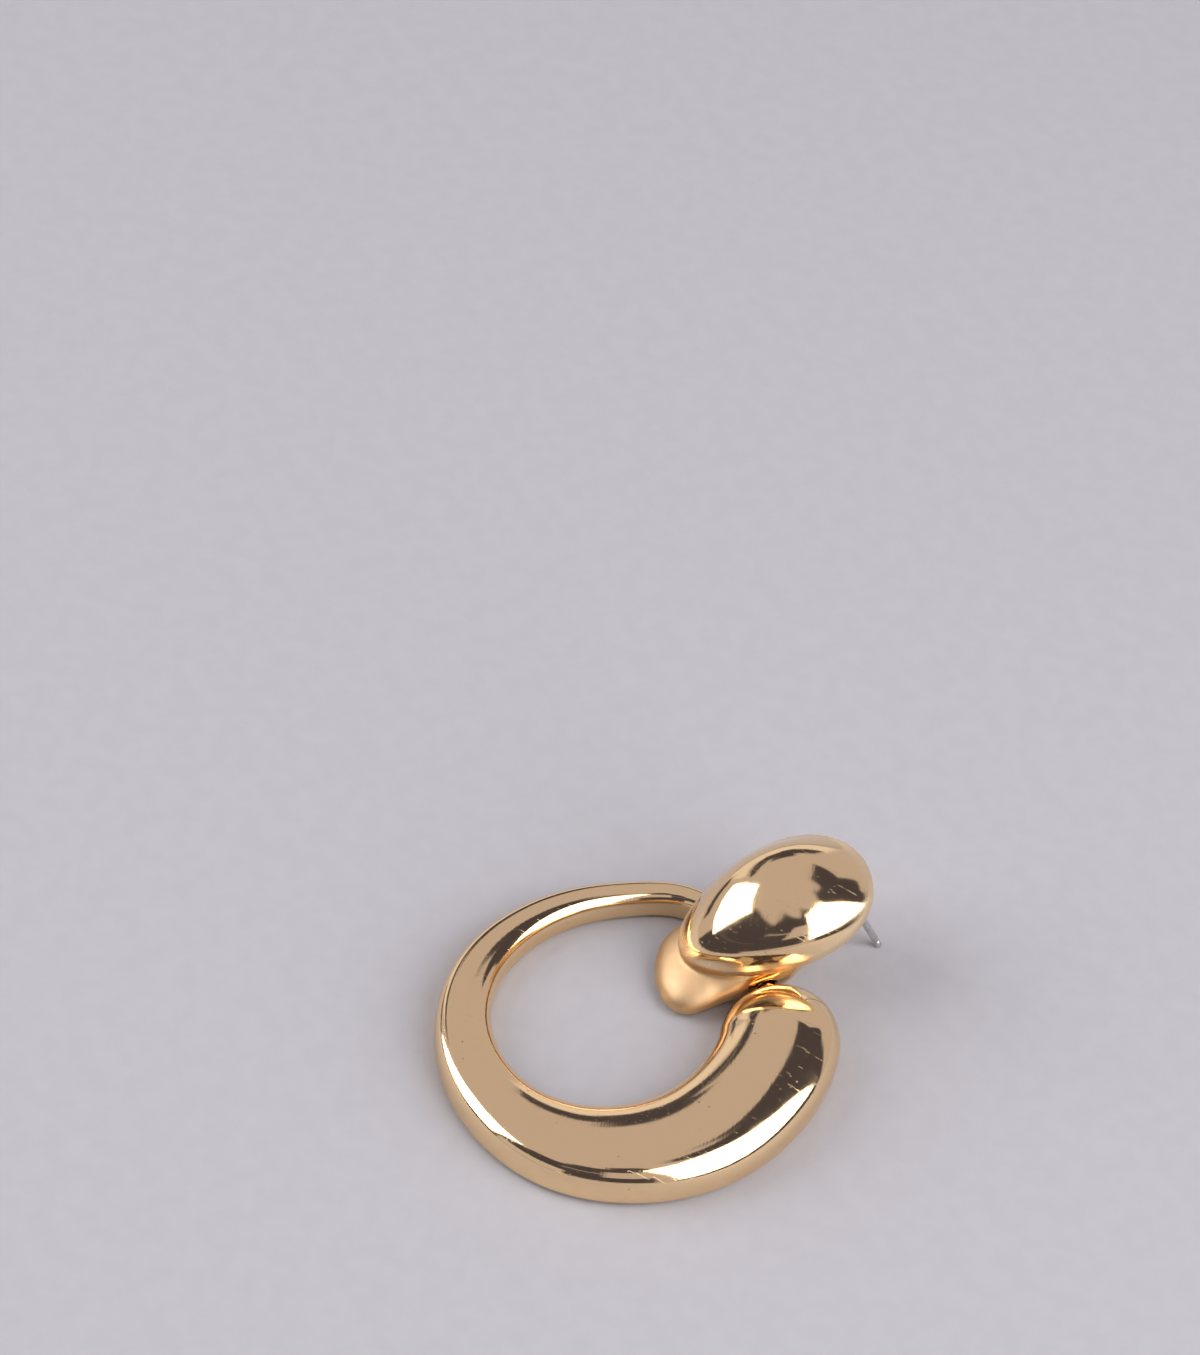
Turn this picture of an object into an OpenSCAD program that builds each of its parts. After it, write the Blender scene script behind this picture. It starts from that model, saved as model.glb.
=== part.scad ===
// Door-knocker earring lying face up: a crescent hoop hung by its neck bar in the loop
// behind a puffed stud, with a straight post. Millimetres, +Z up, the surface at Z = 0.
// The stud lies towards +Y and the hoop's fat end towards +X.

/* [Hoop] */
// Roundness of the hoop's lower edges, 2 for an ellipse and more for a tighter corner
base_power = 4; // [3:0.1:6]
// Height of the widest line as a share of the hoop's height
waist = 0.35; // [0.3:0.01:0.5]
// Length over which the fat end rounds off
fat_nose = 7.8; // [7:0.1:8]
// Length over which the thin end rounds off
thin_nose = 1.0; // [0.6:0.1:1.2]

/* [Neck bar] */
// Radius of the round bar that closes the hoop
neck_r = 1.0; // [0.8:0.05:1.1]
// Height of the bar's axis above the surface
neck_z = 2.3; // [2.2:0.05:2.4]
// Distance of the bar's axis from the hoop's centre
neck_y = 16.7; // [16.5:0.05:16.8]
// Radial play of the bar in the stud's loop
loop_play = 0.35; // [0.2:0.05:0.4]

/* [Dome] */
// Half length of the dome
dome_half_len = 11.15; // [10.5:0.05:11.5]
// Half width of the dome at its middle
dome_half_w = 7.5; // [7:0.05:7.7]
// How much the dome widens towards the post's end
dome_egg = 0.2; // [0.1:0.01:0.25]
// Height of the crown above the dome's lip
dome_crown = 4.9; // [4.5:0.05:5.4]
// Height of the lip
dome_wall = 2; // [1.8:0.1:2.2]
// Radius of the dome's back edge
dome_edge = 1.2; // [0.8:0.1:1.4]
// Angle by which the dome's upper end is raised
stud_pitch = 19.5; // [18:0.5:21]
// Roll of the dome about its long axis
stud_roll = 3.4; // [1:0.1:4]
// Turn of the dome about the vertical
stud_turn = -7.6; // [-9:0.1:-5]

/* [Post] */
// Radius of the post's wire
post_r = 0.4; // [0.35:0.01:0.5]
// Angle by which the post leans from the upright
post_lean = 28.1; // [27:0.1:30]
// Bearing of the post's tip from its foot, from +X
post_bearing = 64.6; // [60:0.1:70]
// Radius of the solder collar at the post's foot
collar_r = 0.75; // [0.6:0.05:0.9]
// Distance of the groove from the tip
notch_from_tip = 1.15; // [0.8:0.05:2]
// Depth of the groove
notch_depth = 0.1; // [0.05:0.01:0.15]

/* [Hidden] */

// The hoop's centre and the dome's middle
hoop_x = -0.931;
hoop_y = -5.668;
dome_mid = [-3.22, 19.48, 9.31];

// The hoop's sections, clockwise from the fat end:
// angle about the hoop's centre, radius of the middle, half width, height, distance of the
// highest line outwards as a share of the half width, roundness of the outer and the inner shoulder
HOOP = [
    [  56, 16.41, 6.57, 7.18, 0.10, 2.2, 2.0],
    [  27, 15.38, 6.48, 6.42, 0.12, 2.3, 2.0],
    [   0, 15.36, 6.32, 5.80, 0.15, 2.6, 2.0],
    [ -27, 15.84, 5.86, 5.44, 0.20, 3.0, 2.0],
    [ -55, 16.68, 5.21, 5.10, 0.22, 3.2, 2.0],
    [ -85, 17.13, 4.05, 4.72, 0.22, 3.2, 2.0],
    [-115, 17.45, 3.18, 4.49, 0.20, 3.2, 2.2],
    [-145, 17.53, 2.56, 4.07, 0.15, 3.4, 2.5],
    [-175, 17.75, 2.04, 3.66, 0.10, 3.4, 2.7],
    [-205, 18.57, 1.66, 3.48, 0.00, 3.2, 2.8],
    [-225, 19.82, 1.48, 3.59, 0.00, 3.0, 2.8],
    [-234, 19.91, 1.42, 3.69, 0.00, 2.8, 2.8],
    [-238.5, 19.80, 1.37, 3.79, 0.00, 2.8, 2.8]
];

// The loop's sections, from the tongue's tip to the strap that rises behind the neck bar:
// distance from the hoop's centre along Y, middle, half width, underside, top
LOOP = [
    [ 6.20, -2.55, 0.75, 0.95, 1.75],
    [ 6.64, -2.85, 2.20, 0.55, 2.45],
    [ 7.38, -3.20, 3.34, 0.22, 3.05],
    [ 8.39, -3.65, 4.26, 0.05, 3.60],
    [ 9.78, -4.10, 4.95, 0.00, 4.25],
    [11.40, -4.30, 5.25, 0.00, 5.00],
    [13.80, -4.05, 5.45, 0.00, 6.40],
    [16.00, -3.75, 5.40, 0.00, 7.30],
    [18.00, -3.50, 5.50, 0.00, 7.90],
    [19.00, -3.35, 5.60, 0.50, 8.10],
    [20.00, -3.25, 5.65, 2.10, 8.40],
    [21.00, -3.20, 5.65, 4.20, 8.80],
    [22.50, -3.20, 5.60, 7.60, 9.60]
];

section_sides = 24;
steps_per_row = 5;
nose_steps = 6;
loop_sides = 24;
loop_steps = 3;
loop_waist = 0.45;
loop_crown_power = 2.1;
loop_base_power = 2.4;
dome_sides = 40;
crown_steps = 12;

// The crown's rise: its roundness in plan and in height, and how its height falls off towards
// both ends and both sides and leans to one side, less in the middle than at the rim
crown_plan_power = 8.3;
crown_rise_power = 1.3;
crown_base = 0.2;
crown_end_fall = 0.88;
crown_side_fall = 0.64;
crown_side_lean = 0.17;
crown_rim_lean = 0.43;
crown_tip = 0.02;

neck_from = -10.4;
neck_to = 4.6;
tunnel_from = -14;
tunnel_to = 6;
bar_sides = 48;
notch_w = 0.6;
post_rest = [0.46, 32.02];
post_above = 0.02;
post_sides = 32;
collar_rim = 0.2;
collar_h = 0.5;
trim_size = 28;
corner_step = 30;
tip_step = 15;
travel_step = 0.02;

gold = [0.83, 0.68, 0.42];
steel = [0.66, 0.66, 0.67];

// One value of a table of rows, with a smooth curve through them; t counts rows
function row_at(rows, t) =
    let (
        last = len(rows) - 1,
        i = max(0, min(floor(t), last - 1)),
        f = t - i,
        b = rows[i],
        c = rows[i + 1],
        a = i > 0 ? rows[i - 1] : 2 * b - c,
        d = i < last - 1 ? rows[i + 2] : 2 * c - b
    )
    0.5 * (2 * b + (c - a) * f + (2 * a - 5 * b + 4 * c - d) * f * f + (3 * b - a - 3 * c + d) * f * f * f);

function power(value, exponent) = sign(value) * pow(abs(value), 2 / exponent);

// A closed outline in a vertical plane: across is the horizontal direction of its width, and
// crest is the highest line's distance along it as a share of the half width
function section(middle, across, half_w, low, high, widest, crest, outer, inner, lower, sides, scale = 1) =
    let (mid_z = low + widest * (high - low))
    [for (k = [0 : sides - 1])
        let (
            a = 360 * k / sides,
            e = sin(a) > 0 ? (cos(a) > 0 ? outer : inner) : lower,
            u = scale * half_w * (crest + (1 - sign(cos(a)) * crest) * power(cos(a), e)),
            up = sin(a) > 0 ? high - mid_z : mid_z - low
        )
        [middle[0] + across[0] * u, middle[1] + across[1] * u, mid_z + scale * up * power(sin(a), e)]];

function hoop_middle(t) =
    let (row = row_at(HOOP, t))
    [row[1] * cos(row[0]), row[1] * sin(row[0])];

function unit(v) = v / norm(v);

function hoop_travel(t) =
    unit(hoop_middle(t + travel_step) - hoop_middle(t - travel_step));

// One section of the hoop; past each end it shrinks along a quarter ellipse
function hoop_section(t, beyond = 0, scale = 1) =
    let (
        row = row_at(HOOP, t),
        go = hoop_travel(t),
        middle = hoop_middle(t) + go * beyond
    )
    section(middle, [-go[1], go[0]], row[2], 0, row[3], waist, row[4], row[5], row[6], base_power,
            section_sides, scale);

hoop_last = len(HOOP) - 1;

hoop_rings = concat(
    [for (i = [1 : nose_steps])
        let (q = 90 * i / (nose_steps + 1)) hoop_section(0, -fat_nose * cos(q), sin(q))],
    [for (i = [0 : hoop_last * steps_per_row]) hoop_section(i / steps_per_row)],
    [for (i = [1 : nose_steps])
        let (q = 90 * i / (nose_steps + 1)) hoop_section(hoop_last, thin_nose * sin(q), cos(q))]
);

// One section of the loop, in a plane across Y
function loop_section(t) =
    let (row = row_at(LOOP, t))
    section([row[1], row[0]], [-1, 0], row[2], max(0, row[3]), row[4], loop_waist, 0,
            loop_crown_power, loop_crown_power, loop_base_power, loop_sides);

loop_last = len(LOOP) - 1;

loop_rings = [for (i = [0 : loop_last * loop_steps]) loop_section(i / loop_steps)];

// A point of the dome's egg-shaped plan; along and across are shares of its half sizes
function egg_point(along, across, level) =
    [dome_half_w * across * (1 + dome_egg * along), dome_half_len * along, level];

// The crown's fullness over a point of the plan
function fullness(along, across) =
    1 - crown_end_fall * along * along - crown_side_fall * across * across
        - across * (crown_side_lean - crown_rim_lean * (along * along + across * across));

// A level ring of the dome; reach is 1 at the widest line
function level_ring(reach, level) =
    [for (k = [0 : dome_sides - 1])
        let (a = 360 * k / dome_sides) egg_point(reach * sin(a), reach * cos(a), level)];

// A ring of the crown, which rises and falls on its way round
function crown_ring(reach) =
    let (rise = pow(1 - pow(reach, crown_plan_power), 1 / crown_rise_power))
    [for (k = [0 : dome_sides - 1])
        let (a = 360 * k / dome_sides, along = reach * sin(a), across = reach * cos(a))
        egg_point(along, across, rise * (dome_crown * fullness(along, across) + crown_base) - crown_base)];

dome_rings = concat(
    [for (a = [0 : corner_step : 90])
        level_ring(1 - dome_edge / dome_half_w * (1 - sin(a)), -dome_wall + dome_edge * (1 - cos(a)))],
    [for (i = [0 : crown_steps - 1]) crown_ring(cos(90 * i / crown_steps))],
    [level_ring(crown_tip, dome_crown)]
);

// A closed solid through a list of rings that have the same number of points
module skin(rings) {
    sides = len(rings[0]);
    last = len(rings) - 1;
    walls = [for (i = [0 : last - 1], k = [0 : sides - 1])
        let (a = i * sides + k, b = i * sides + (k + 1) % sides) each [[a, b + sides, b], [a, a + sides, b + sides]]];
    first_end = [for (k = [0 : sides - 1]) k];
    last_end = [for (k = [sides - 1 : -1 : 0]) last * sides + k];
    polyhedron([for (ring = rings) each ring], concat(walls, [first_end, last_end]));
}

// A round bar along the neck bar's axis
module neck_bar(radius, from, to) {
    translate([from, neck_y, neck_z]) rotate([0, 90, 0]) cylinder(r = radius, h = to - from, $fn = bar_sides);
}

// Places what is drawn flat, with its long axis along Y, as the dome lies
module as_dome_lies() {
    translate(dome_mid) rotate([stud_pitch, stud_roll, stud_turn]) children();
}

module drop_ring() {
    color(gold) translate([hoop_x, hoop_y, 0]) union() {
        skin(hoop_rings);
        neck_bar(neck_r, neck_from, neck_to);
    }
}

module stud() {
    color(gold) translate([hoop_x, hoop_y, 0]) difference() {
        union() {
            as_dome_lies() skin(dome_rings);
            skin(loop_rings);
        }
        neck_bar(neck_r + loop_play, tunnel_from, tunnel_to);
    }
}

// The way out of the dome's crown, the way down the post and the middle of its rounded end
dome_up = [
    cos(stud_pitch) * sin(stud_roll) * cos(stud_turn) + sin(stud_pitch) * sin(stud_turn),
    cos(stud_pitch) * sin(stud_roll) * sin(stud_turn) - sin(stud_pitch) * cos(stud_turn),
    cos(stud_pitch) * cos(stud_roll)
];
post_down = [sin(post_lean) * cos(post_bearing), sin(post_lean) * sin(post_bearing), -cos(post_lean)];
post_tip = [post_rest[0], post_rest[1], post_r + post_above];

// Length of the post from the dome's flat back to the middle of its rounded end
post_len = ((post_tip - dome_mid) * dome_up + dome_wall) / (post_down * dome_up);

// The post with its collar; what reaches into the dome is trimmed off
module ear_post() {
    notch = post_len + post_r - notch_from_tip;
    profile = [
        [0, -collar_h],
        [collar_r, -collar_h],
        [collar_r, collar_rim],
        [post_r, collar_h],
        [post_r, notch - notch_w / 2],
        [post_r - notch_depth, notch],
        [post_r, notch + notch_w / 2],
        each [for (a = [0 : tip_step : 90]) [post_r * cos(a), post_len + post_r * sin(a)]]
    ];
    color(steel) translate([hoop_x, hoop_y, 0]) difference() {
        translate(post_tip) rotate([0, 180 - post_lean, post_bearing]) translate([0, 0, -post_len])
            rotate_extrude($fn = post_sides) polygon(profile);
        as_dome_lies() translate([-trim_size / 2, -trim_size / 2, -dome_wall]) cube(trim_size);
    }
}

drop_ring();
stud();
ear_post();
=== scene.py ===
"""A door-knocker earring of polished pale gold, lying face up on a pale table.

The crescent hoop hangs by its neck bar in the loop behind a puffed, egg-shaped stud, and a
straight steel post stands on the stud's back. Sizes are in millimetres, in the frame of the
solids, and become metres when a mesh is made.
"""

import itertools
import logging
import math
from dataclasses import astuple, dataclass, field
from enum import Enum
from functools import reduce
from typing import Callable, Mapping, NamedTuple, Sequence, Union

import bpy
import numpy as np
from mathutils import Matrix, Vector


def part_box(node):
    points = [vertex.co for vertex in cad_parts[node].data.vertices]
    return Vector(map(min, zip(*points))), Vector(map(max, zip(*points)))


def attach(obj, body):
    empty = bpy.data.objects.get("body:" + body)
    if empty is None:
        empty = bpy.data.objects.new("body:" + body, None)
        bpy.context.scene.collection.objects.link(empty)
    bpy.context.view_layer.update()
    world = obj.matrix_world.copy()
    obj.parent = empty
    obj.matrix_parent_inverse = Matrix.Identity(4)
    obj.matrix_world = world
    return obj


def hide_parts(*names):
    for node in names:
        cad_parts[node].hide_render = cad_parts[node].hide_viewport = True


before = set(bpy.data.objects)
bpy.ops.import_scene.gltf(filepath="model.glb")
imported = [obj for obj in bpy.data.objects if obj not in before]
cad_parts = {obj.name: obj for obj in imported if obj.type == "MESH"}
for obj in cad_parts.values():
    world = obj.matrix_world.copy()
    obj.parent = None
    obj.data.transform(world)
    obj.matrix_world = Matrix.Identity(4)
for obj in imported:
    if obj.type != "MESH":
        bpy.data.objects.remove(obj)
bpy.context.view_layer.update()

LOG = logging.getLogger("earring")
MM = 0.001
IMAGE_SIZE = (1200, 1355)

Array = np.ndarray
Field = Callable[[Array], Array]
Pair = tuple[float, float]
Triple = tuple[float, float, float]
Colour = tuple[float, float, float, float]
Value = Union["Signal", float, Sequence[float]]


class Body(Enum):
    """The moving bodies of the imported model."""

    HOOP = "hoop"
    STUD = "stud"


class Slot(Enum):
    """The record's material slots."""

    GOLD = "gold_plate"
    STEEL = "post_steel"


@dataclass(frozen=True)
class StudioFrame:
    """The photographer's axes, seen from the frame of the solids.

    In studio axes X runs to the right, Y away from the camera and Z up, from the point of the
    table that the lens axis meets. The hoop's centre is given in them as studio_centre, and as
    hoop_centre in the frame of the solids.
    """

    turn: float = math.radians(55.088)
    studio_centre: Pair = (7.604, -52.853)
    hoop_centre: Pair = (-0.931, -5.668)

    def direction(self, vector: Sequence[float]) -> Vector:
        """Turns a direction in studio axes into the frame of the solids."""
        return Matrix.Rotation(self.turn, 3, "Z") @ Vector(vector)

    def point(self, place: Sequence[float]) -> Vector:
        """Turns millimetres in studio axes into metres in the frame of the solids."""
        moved = Vector(place) - Vector((*self.studio_centre, 0.0))
        return (self.direction(moved) + Vector((*self.hoop_centre, 0.0))) * MM

    def towards(self, azimuth: float, elevation: float) -> Vector:
        """Gives the direction of a place in the studio as it is seen from the earring.

        Args:
            azimuth: Degrees to the right of straight away from the camera.
            elevation: Degrees above the table.

        Returns:
            A unit vector in the frame of the solids.
        """
        side, rise = math.radians(azimuth), math.radians(elevation)
        flat = math.cos(rise)
        return self.direction((math.sin(side) * flat, math.cos(side) * flat, math.sin(rise)))


STUDIO_FRAME = StudioFrame()
HOOP_CENTRE = np.array([*STUDIO_FRAME.hoop_centre, 0.0])


@dataclass(frozen=True)
class PhotoCamera:
    """The camera at the photograph's place, tilt, roll and focal length."""

    distance: float = 496.0
    elevation: float = math.radians(47.03)
    roll: float = math.radians(7.29)
    focal_pixels: float = 4281.0
    sensor: float = 36.0
    clip: Pair = (0.01, 20.0)

    def build(self) -> bpy.types.Object:
        """Makes the camera and gives it to the scene.

        Returns:
            The camera object.
        """
        tilt, roll = self.elevation, self.roll
        back = Vector((0.0, -math.cos(tilt), math.sin(tilt)))
        level = Vector((1.0, 0.0, 0.0))
        rise = Vector((0.0, math.sin(tilt), math.cos(tilt)))
        right = level * math.cos(roll) + rise * math.sin(roll)
        up = rise * math.cos(roll) - level * math.sin(roll)
        axes = [STUDIO_FRAME.direction(axis) for axis in (right, up, back)]
        place = STUDIO_FRAME.point(back * self.distance)
        data = bpy.data.cameras.new("photo_camera")
        data.sensor_width = self.sensor
        data.lens = self.focal_pixels * self.sensor / max(IMAGE_SIZE)
        data.clip_start, data.clip_end = self.clip
        camera = bpy.data.objects.new("photo_camera", data)
        camera.matrix_world = Matrix.Translation(place) @ Matrix(axes).transposed().to_4x4()
        bpy.context.scene.collection.objects.link(camera)
        bpy.context.scene.camera = camera
        LOG.info("camera %.1f mm from the table, lens %.2f mm", self.distance, data.lens)
        return camera


@dataclass(frozen=True)
class Signal:
    """A value that varies over a surface: arithmetic on a number adds Math nodes."""

    graph: "ShaderGraph"
    socket: bpy.types.NodeSocket

    def _math(self, operation: str, first: Value, second: Value) -> "Signal":
        """Adds one Math node and gives its result."""
        return self.graph.add("ShaderNodeMath", {"operation": operation}, {0: first, 1: second})

    def __add__(self, other: Value) -> "Signal":
        """Adds another number."""
        return self._math("ADD", self, other)

    def __radd__(self, other: Value) -> "Signal":
        """Adds this to another number."""
        return self._math("ADD", other, self)

    def __sub__(self, other: Value) -> "Signal":
        """Takes another number away."""
        return self._math("SUBTRACT", self, other)

    def __rsub__(self, other: Value) -> "Signal":
        """Takes this away from another number."""
        return self._math("SUBTRACT", other, self)

    def __mul__(self, other: Value) -> "Signal":
        """Multiplies by another number."""
        return self._math("MULTIPLY", self, other)

    def __rmul__(self, other: Value) -> "Signal":
        """Multiplies another number by this."""
        return self._math("MULTIPLY", other, self)

    def __truediv__(self, other: Value) -> "Signal":
        """Divides by another number."""
        return self._math("DIVIDE", self, other)

    def ramp(self, start: float, end: float) -> "Signal":
        """Rises smoothly from 0 at start to 1 at end, or falls where end is the lower."""
        settings = {"interpolation_type": "SMOOTHSTEP"}
        return self.graph.add("ShaderNodeMapRange", settings, {0: self, 1: start, 2: end})

    def band(self, low: float, high: float, soft: float) -> "Signal":
        """Is 1 between two values and 0 outside them, with edges of a given width."""
        half = soft / 2
        return self.ramp(low - half, low + half) * self.ramp(high + half, high - half)

    def at_least(self, other: Value) -> "Signal":
        """Gives the larger of this and another number."""
        return self._math("MAXIMUM", self, other)

    def azimuth_from(self, ahead: "Signal") -> "Signal":
        """Gives the degrees by which a direction turns to this side from straight ahead."""
        return self._math("ARCTAN2", self, ahead) * math.degrees(1)

    def along(self, axis: Sequence[float]) -> "Signal":
        """Measures a place or a direction along an axis."""
        settings = {"operation": "DOT_PRODUCT"}
        return self.graph.add("ShaderNodeVectorMath", settings, {0: self, 1: axis}, output="Value")

    def elevation(self) -> "Signal":
        """Gives the degrees by which a direction rises, from its upward share."""
        return self._math("ARCSINE", self, 0.0) * math.degrees(1)


class ShaderGraph:
    """Adds nodes to one node tree."""

    def __init__(self, tree: bpy.types.NodeTree) -> None:
        """Empties the node tree, to fill it anew."""
        self.tree = tree
        tree.nodes.clear()

    def add(
        self,
        kind: str,
        settings: Mapping[str, object] | None = None,
        inputs: Mapping[str | int, Value] | None = None,
        output: str | int = 0,
    ) -> Signal:
        """Adds one node.

        Args:
            kind: The node's type.
            settings: The node's own settings, which are set first.
            inputs: Values or links of the node's sockets, by name or number.
            output: The socket that is given back.

        Returns:
            The chosen output.
        """
        node = self.tree.nodes.new(kind)
        for name, value in (settings or {}).items():
            setattr(node, name, value)
        for key, value in (inputs or {}).items():
            if isinstance(value, Signal):
                self.tree.links.new(value.socket, node.inputs[key])
            else:
                node.inputs[key].default_value = value
        return Signal(self, node.outputs[output] if node.outputs else None)

    def mix_colour(self, share: Value, first: Value, second: Value) -> Signal:
        """Mixes two colours by the second one's share."""
        settings = {"data_type": "RGBA"}
        return self.add("ShaderNodeMix", settings, {0: share, 6: first, 7: second}, output=2)


@dataclass(frozen=True)
class Grain:
    """Noise that may be stretched and turned, about 0.5 on average.

    The scale counts cells per metre along each axis, the turn is in radians about each axis, and
    the detail is the number of finer octaves.
    """

    scale: Triple
    detail: float
    turn: Triple = (0.0, 0.0, 0.0)

    def over(self, place: Signal) -> Signal:
        """Lays the noise over a surface.

        Args:
            place: The point of the surface, in metres.

        Returns:
            The noise.
        """
        graph = place.graph
        turn = {"Vector": place, "Rotation": self.turn}
        turned = graph.add("ShaderNodeMapping", {"vector_type": "TEXTURE"}, turn)
        sized = graph.add("ShaderNodeMapping", None, {"Vector": turned, "Scale": self.scale})
        noise = {"Vector": sized, "Scale": 1.0, "Detail": self.detail}
        return graph.add("ShaderNodeTexNoise", None, noise)


class Coat(NamedTuple):
    """What a finish puts on a surface; the relief is a height in metres."""

    colour: Signal
    roughness: Value
    relief: Signal


@dataclass(frozen=True)
class Finish:
    """A named finish; each kind lays a coat of its own."""

    name: str
    metallic: float = 1.0

    def lay(self, place: Signal) -> Coat:
        """Works out the coat."""
        raise NotImplementedError

    def build(self) -> bpy.types.Material:
        """Makes the material.

        Returns:
            The material, with the coat on it.
        """
        material = bpy.data.materials.new(self.name)
        material.use_nodes = True
        graph = ShaderGraph(material.node_tree)
        coat = self.lay(graph.add("ShaderNodeTexCoord", output="Object"))
        bump = {"Strength": 1.0, "Distance": 1.0, "Height": coat.relief}
        inputs = {
            "Base Color": coat.colour,
            "Metallic": self.metallic,
            "Roughness": coat.roughness,
            "Normal": graph.add("ShaderNodeBump", None, bump),
        }
        surface = graph.add("ShaderNodeBsdfPrincipled", None, inputs)
        graph.add("ShaderNodeOutputMaterial", None, {"Surface": surface})
        return material


@dataclass(frozen=True)
class GoldPlate(Finish):
    """Polished pale gold plating over a cast form, with fine scratches and a few pits.

    Satin is the roughness that the tongue and the dome's rim have beyond the rest. Where satin is
    on, the same masks paint light: the rim gets a paler colour as a painted sheen, and the tongue,
    under the dome, is darkened toward the tarnish colour as painted shade. A pair of values is
    where
    a ramp starts and ends: in values of the noise, in distance from the middle of a pit's cell, or
    for the tongue and the rim in metres.
    """

    colour: Colour = (0.93, 0.67, 0.385, 1.0)
    # Tarnish colour of the pits, also used for the painted shade on the tongue under the dome.
    tarnish_and_shade: Colour = (0.42, 0.24, 0.12, 1.0)
    pit_tarnish: float = 0.7
    roughness: float = 0.075
    haze: float = 0.05
    haze_edge: Pair = (0.45, 0.75)
    hair_edge: Pair = (0.70, 0.76)
    hair_roughness: float = 0.12
    hair_share: float = 0.8
    pit_scale: float = 420.0
    pit_edge: Pair = (0.07, 0.02)
    pit_roughness: float = 0.3
    pit_depth: float = 1.2e-5
    wave_height: float = 1.6e-5
    streak_height: float = 3.6e-6
    waves: Grain = Grain((210.0, 210.0, 210.0), 1.0)
    streaks: Grain = Grain((5200.0, 520.0, 2600.0), 3.0, (0.3, 0.2, 0.9))
    hairs: Grain = Grain((9000.0, 260.0, 3000.0), 1.0, (0.5, -0.4, 2.2))
    cloud: Grain = Grain((650.0, 650.0, 650.0), 4.0)
    satin: float = 0.0
    # How far the tongue is darkened toward the tarnish colour, as painted shade.
    tongue_shade_share: float = 0.5
    tongue_end: Pair = (0.0095, 0.0075)
    tongue_top: Pair = (0.0064, 0.0052)
    # Painted sheen: the paler colour painted on the dome's rim, in place of the light it reflects.
    rim_painted_sheen: Colour = (0.97, 0.78, 0.54, 1.0)
    rim_normal: Triple = (0.0113, -0.3383, 0.9410)
    rim_top: Pair = (0.0052, 0.0042)
    rim_foot: Pair = (0.0019, 0.0026)
    rim_share: float = 0.5

    def lay(self, place: Signal) -> Coat:
        """Works out the gold's colour, roughness and relief.

        Args:
            place: The point of the surface, in metres.

        Returns:
            The coat.
        """
        graph = place.graph
        waves, streaks = self.waves.over(place), self.streaks.over(place)
        hairs = self.hairs.over(place).ramp(*self.hair_edge)
        cells = graph.add("ShaderNodeTexVoronoi", None, {"Vector": place, "Scale": self.pit_scale})
        pits = cells.ramp(*self.pit_edge)
        haze = self.cloud.over(place).ramp(*self.haze_edge)
        scratches = (streaks - hairs * self.hair_share) * self.streak_height
        relief = waves * self.wave_height + scratches - pits * self.pit_depth
        rough = self.roughness + self.haze * haze + hairs * self.hair_roughness
        rough = rough + pits * self.pit_roughness
        paint = graph.mix_colour(pits * self.pit_tarnish, self.colour, self.tarnish_and_shade)
        # Beyond the satin roughness, this paints light: a paler rim as a painted sheen, and a
        # darker tongue as painted shade.
        if self.satin:
            tongue, rim = self._tongue(place), self._rim(place)
            rough = rough + tongue.at_least(rim) * self.satin
            paint = graph.mix_colour(rim * (1.0 - tongue), paint, self.rim_painted_sheen)
            paint = graph.mix_colour(tongue * self.tongue_shade_share, paint, self.tarnish_and_shade)
        return Coat(paint, rough, relief)

    def _tongue(self, place: Signal) -> Signal:
        """Marks the tongue beyond the neck bar, which the polishing wheel doesn't reach; the mask
        sets its satin roughness and its painted shade.
        """
        ahead, height = place.along((0, 1, 0)), place.along((0, 0, 1))
        return ahead.ramp(*self.tongue_end) * height.ramp(*self.tongue_top)

    def _rim(self, place: Signal) -> Signal:
        """Marks the dome's satin rim, at most as far as rim_share; the mask sets its satin
        roughness and its painted sheen.
        """
        above = place.along(self.rim_normal)
        return above.ramp(*self.rim_top) * above.ramp(*self.rim_foot) * self.rim_share


@dataclass(frozen=True)
class SteelWire(Finish):
    """Plain drawn steel wire with lines along its length."""

    name: str = "drawn_steel_wire"
    colour: Colour = (0.62, 0.61, 0.60, 1.0)
    shade: Colour = (0.45, 0.43, 0.41, 1.0)
    shade_edge: Pair = (0.35, 0.7)
    roughness: float = 0.38
    roughness_swing: float = 0.2
    line_height: float = 1.5e-6
    lines: Grain = Grain((9000.0, 9000.0, 500.0), 2.0)
    cloud: Grain = Grain((1500.0, 1500.0, 700.0), 3.0)

    def lay(self, place: Signal) -> Coat:
        """Works out the wire's colour, roughness and relief.

        Args:
            place: The point of the surface, in metres.

        Returns:
            The coat.
        """
        lines, cloud = self.lines.over(place), self.cloud.over(place)
        paint = place.graph.mix_colour(cloud.ramp(*self.shade_edge), self.colour, self.shade)
        rough = self.roughness + (cloud - 0.5) * self.roughness_swing
        return Coat(paint, rough, lines * self.line_height)


@dataclass(frozen=True)
class TablePaper(Finish):
    """The pale, slightly cool paper of the table."""

    name: str = "pale_table_paper"
    metallic: float = 0.0
    colour: Colour = (0.432, 0.421, 0.447, 1.0)
    shade: Colour = (0.417, 0.405, 0.430, 1.0)
    shade_edge: Pair = (0.3, 0.7)
    roughness: float = 0.75
    tooth: float = 6e-6
    mottle: Grain = Grain((400.0, 400.0, 400.0), 5.0)

    def lay(self, place: Signal) -> Coat:
        """Works out the paper's colour, roughness and relief.

        Args:
            place: The point of the surface, in metres.

        Returns:
            The coat.
        """
        mottle = self.mottle.over(place)
        paint = place.graph.mix_colour(mottle.ramp(*self.shade_edge), self.colour, self.shade)
        return Coat(paint, self.roughness, mottle * self.tooth)


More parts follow.
